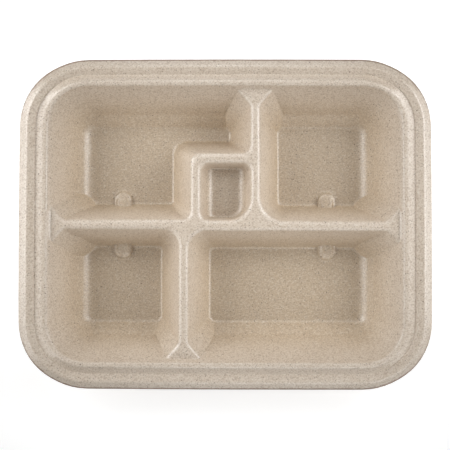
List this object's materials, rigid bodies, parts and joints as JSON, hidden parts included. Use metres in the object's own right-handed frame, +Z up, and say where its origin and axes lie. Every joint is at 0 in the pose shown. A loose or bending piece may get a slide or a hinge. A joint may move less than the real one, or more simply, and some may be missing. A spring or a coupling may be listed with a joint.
{
  "type": "compartment food tray",
  "caption": "Pressed plant-fibre meal tray: open compartments and a sauce cup parted by hollow dividers, with a raised ridge, flat flange and turned-down lip round the rim.",
  "frame": {"origin": "centre of the rim's outline, level with the underside of the compartment floors", "axes": "+X along the long side, towards the side with the wide lower compartment's far end; +Y towards the side with the sauce cup; +Z up, out of the open top"},
  "size_m": [0.2712, 0.2186, 0.0405],
  "materials": {
    "pressed_fibre": "matt, pale tan pressed plant fibre with fine grain and small dark specks"
  },
  "bodies": {
    "root": {"tray": "pressed_fibre"}
  },
  "joints": []
}
